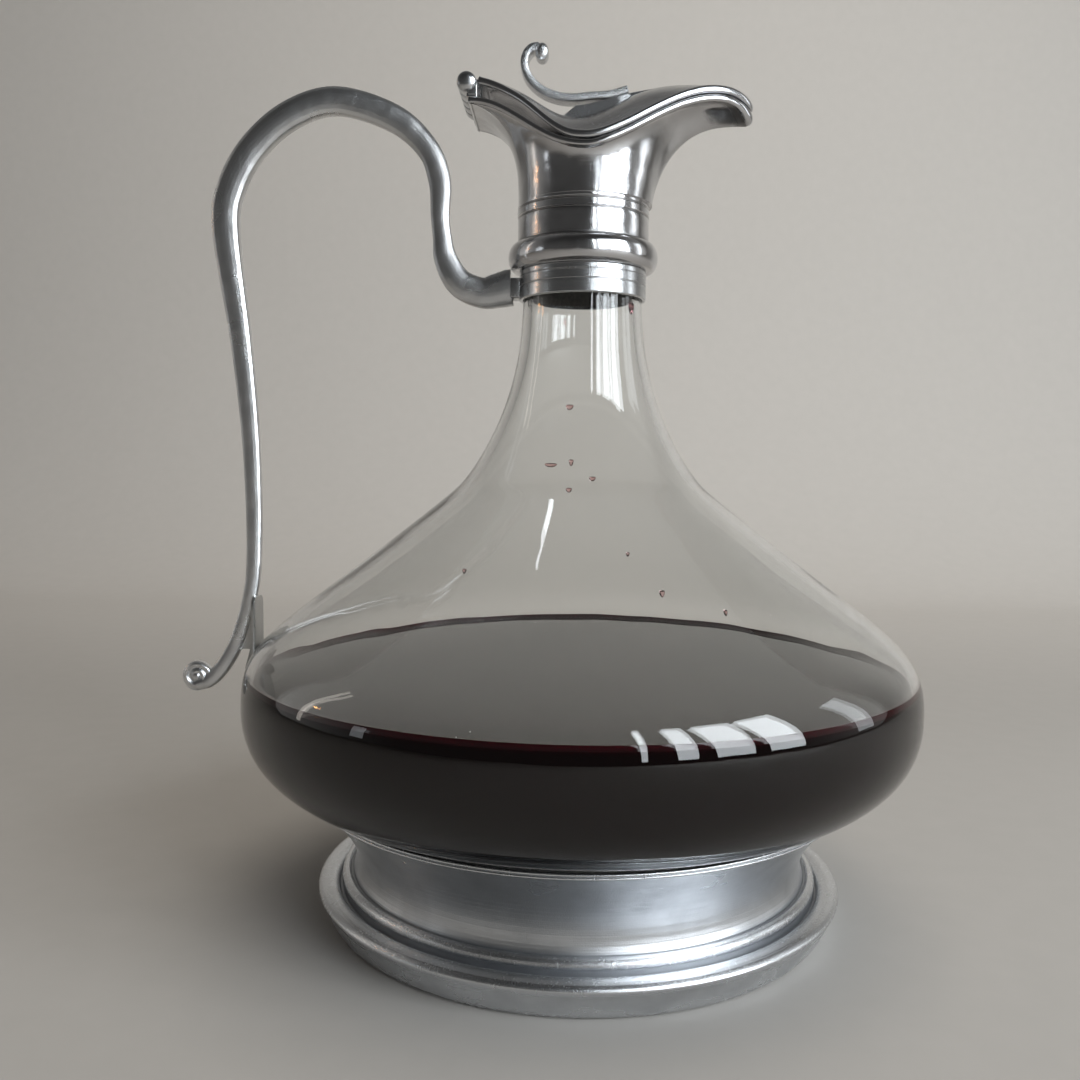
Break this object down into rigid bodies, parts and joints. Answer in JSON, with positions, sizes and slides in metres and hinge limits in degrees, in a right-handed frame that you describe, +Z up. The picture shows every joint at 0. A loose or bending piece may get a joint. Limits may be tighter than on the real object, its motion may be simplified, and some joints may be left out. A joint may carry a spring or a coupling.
{
  "type": "claret jug",
  "caption": "Squat glass decanter in a turned metal foot, with a metal pouring mouth, a hinged domed lid with a scroll thumbpiece, and a tall loop handle that rests on the bowl.",
  "frame": {"origin": "centre of the foot's underside, on the axis of the bowl and neck", "axes": "+Z up along the jug's axis, +X towards the pouring lip and away from the handle, +Y along the lid's hinge"},
  "size_m": [0.2121, 0.19, 0.2444],
  "materials": {
    "glass": "clear, polished",
    "pewter_foot": "pewter, turned and satin polished",
    "pewter_mouth": "pewter, polished",
    "pewter_scroll": "pewter, as cast, fine grained",
    "pewter_handle": "pewter, cast and rubbed",
    "cement": "matt bedding cement"
  },
  "bodies": {
    "jug": {"foot": "pewter_foot", "foot_bedding": "cement", "glass_body": "glass", "neck_bedding": "cement", "neck_band": "pewter_mouth", "mouth_collar": "pewter_mouth", "mouth_body": "pewter_mouth", "mouth_knuckles": "pewter_mouth", "hinge_pin": "pewter_mouth", "handle_tab": "pewter_handle", "handle": "pewter_handle", "handle_rest": "pewter_handle", "rest_pad": "cement"},
    "lid": {"lid": "pewter_mouth", "lid_knuckles": "pewter_mouth", "lid_strap": "pewter_mouth", "thumbpiece": "pewter_scroll"}
  },
  "joints": [
    {"name": "lid_hinge", "type": "hinge", "parent": "jug", "child": "lid", "pos_m": [-0.032, 0, 0.2304], "axis": [0, -1, 0], "range_deg": [0, 105]}
  ]
}
